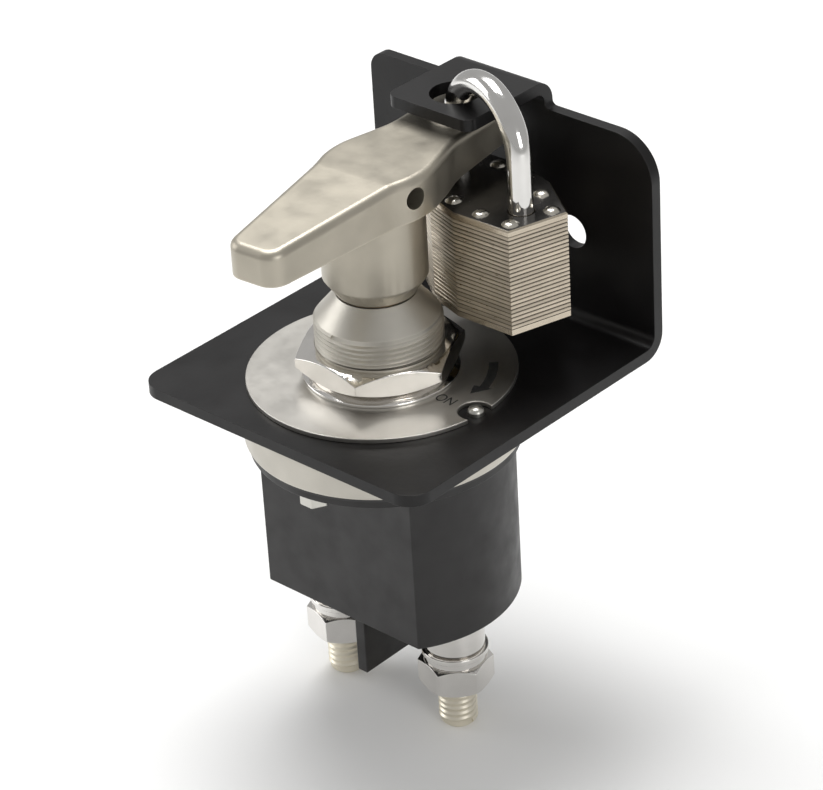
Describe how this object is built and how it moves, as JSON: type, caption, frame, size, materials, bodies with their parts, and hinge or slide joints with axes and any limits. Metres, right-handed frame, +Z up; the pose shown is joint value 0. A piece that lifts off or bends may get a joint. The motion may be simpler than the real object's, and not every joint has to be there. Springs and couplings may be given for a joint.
{
  "type": "battery switch",
  "caption": "Heavy-duty battery master switch on a black L-bracket, its metal lever locked OFF by a laminated padlock through the bracket's tab.",
  "frame": {"origin": "on the switch stem's axis, at the top face of the bracket's base plate, where the face plate sits", "axes": "+Z up the stem towards the lever, +Y towards the bracket's upright wall, +X along the bracket's bend, to the side where the face reads ON"},
  "size_m": [0.087, 0.0938, 0.1617],
  "materials": {
    "black_powder_coat": "satin, slightly textured",
    "printed_face": "bright satin with black print",
    "bright_plate": "bright plated",
    "cast_cover": "dull cast zinc",
    "cast_lever": "fine cast, satin",
    "zinc_screws": "bright zinc",
    "black_moulding": "satin moulded",
    "rubber": "matt",
    "plated_stud": "tin-plated, pale yellow",
    "copper": "bright copper",
    "silver": "silver contact",
    "bronze": "turned bronze",
    "steel": "turned steel",
    "lock_laminations": "nickel-plated steel",
    "lock_cap": "dark gunmetal",
    "lock_rivets": "dark nickel",
    "lock_plug": "machined brass",
    "shackle_chrome": "polished"
  },
  "bodies": {
    "switch": {"lockout_bracket": "black_powder_coat", "face_plate": "printed_face", "stem_lock_washer": "bright_plate", "stem_nut": "bright_plate", "locating_pin": "zinc_screws", "switch_cover": "cast_cover", "stop_pins": "steel", "cover_gasket": "rubber", "cover_screws": "zinc_screws", "housing": "black_moulding", "terminal_stud_left": "plated_stud", "terminal_collar_left": "bright_plate", "terminal_washer_left": "bright_plate", "terminal_spring_washer_left": "bright_plate", "terminal_nut_left": "bright_plate", "terminal_stud_right": "plated_stud", "terminal_collar_right": "bright_plate", "terminal_washer_right": "bright_plate", "terminal_spring_washer_right": "bright_plate", "terminal_nut_right": "bright_plate", "fixed_contact_pads": "silver", "stem_bush": "bronze", "thrust_ring": "bronze"},
    "lever": {"lever": "cast_lever", "lever_pin": "steel", "shaft": "steel", "shaft_seal": "rubber", "shaft_clip": "steel", "rotor": "black_moulding", "contact_bridge": "copper", "contact_spring": "steel"},
    "padlock": {"padlock_top_plate": "lock_cap", "padlock_laminations": "lock_laminations", "padlock_bottom_plate": "lock_cap", "padlock_rivets": "lock_rivets"},
    "padlock_shackle": {"padlock_shackle": "shackle_chrome"},
    "padlock_plug": {"padlock_plug": "lock_plug"},
    "padlock_latch": {"padlock_latch": "lock_plug"}
  },
  "joints": [
    {"name": "lever_turn", "type": "hinge", "parent": "switch", "child": "lever", "pos_m": [0, 0, 0], "axis": [0, 0, -1], "range_deg": [0, 5.5]},
    {"name": "padlock_swing", "type": "hinge", "parent": "switch", "child": "padlock", "pos_m": [-0.0004, 0.0306, 0], "axis": [0, 0, 1], "range_deg": [-3.5, 24]},
    {"name": "plug_turn", "type": "hinge", "parent": "padlock", "child": "padlock_plug", "pos_m": [0.01251, 0.02665, 0], "axis": [0, 0, 1], "range_deg": [0, 90]},
    {"name": "latch_slide", "type": "slide", "parent": "padlock", "child": "padlock_latch", "axis": [0.9563, -0.2924, 0], "range_m": [0, 0.006]},
    {"name": "shackle_slide", "type": "slide", "parent": "padlock", "child": "padlock_shackle", "axis": [0, 0, 1], "range_m": [0, 0.0105]}
  ],
  "couplings": [
    {"joint": "latch_slide", "follows": "shackle_slide", "ratio": 0.57143},
    {"joint": "plug_turn", "follows": "shackle_slide", "rad_per_m": 149.6}
  ]
}
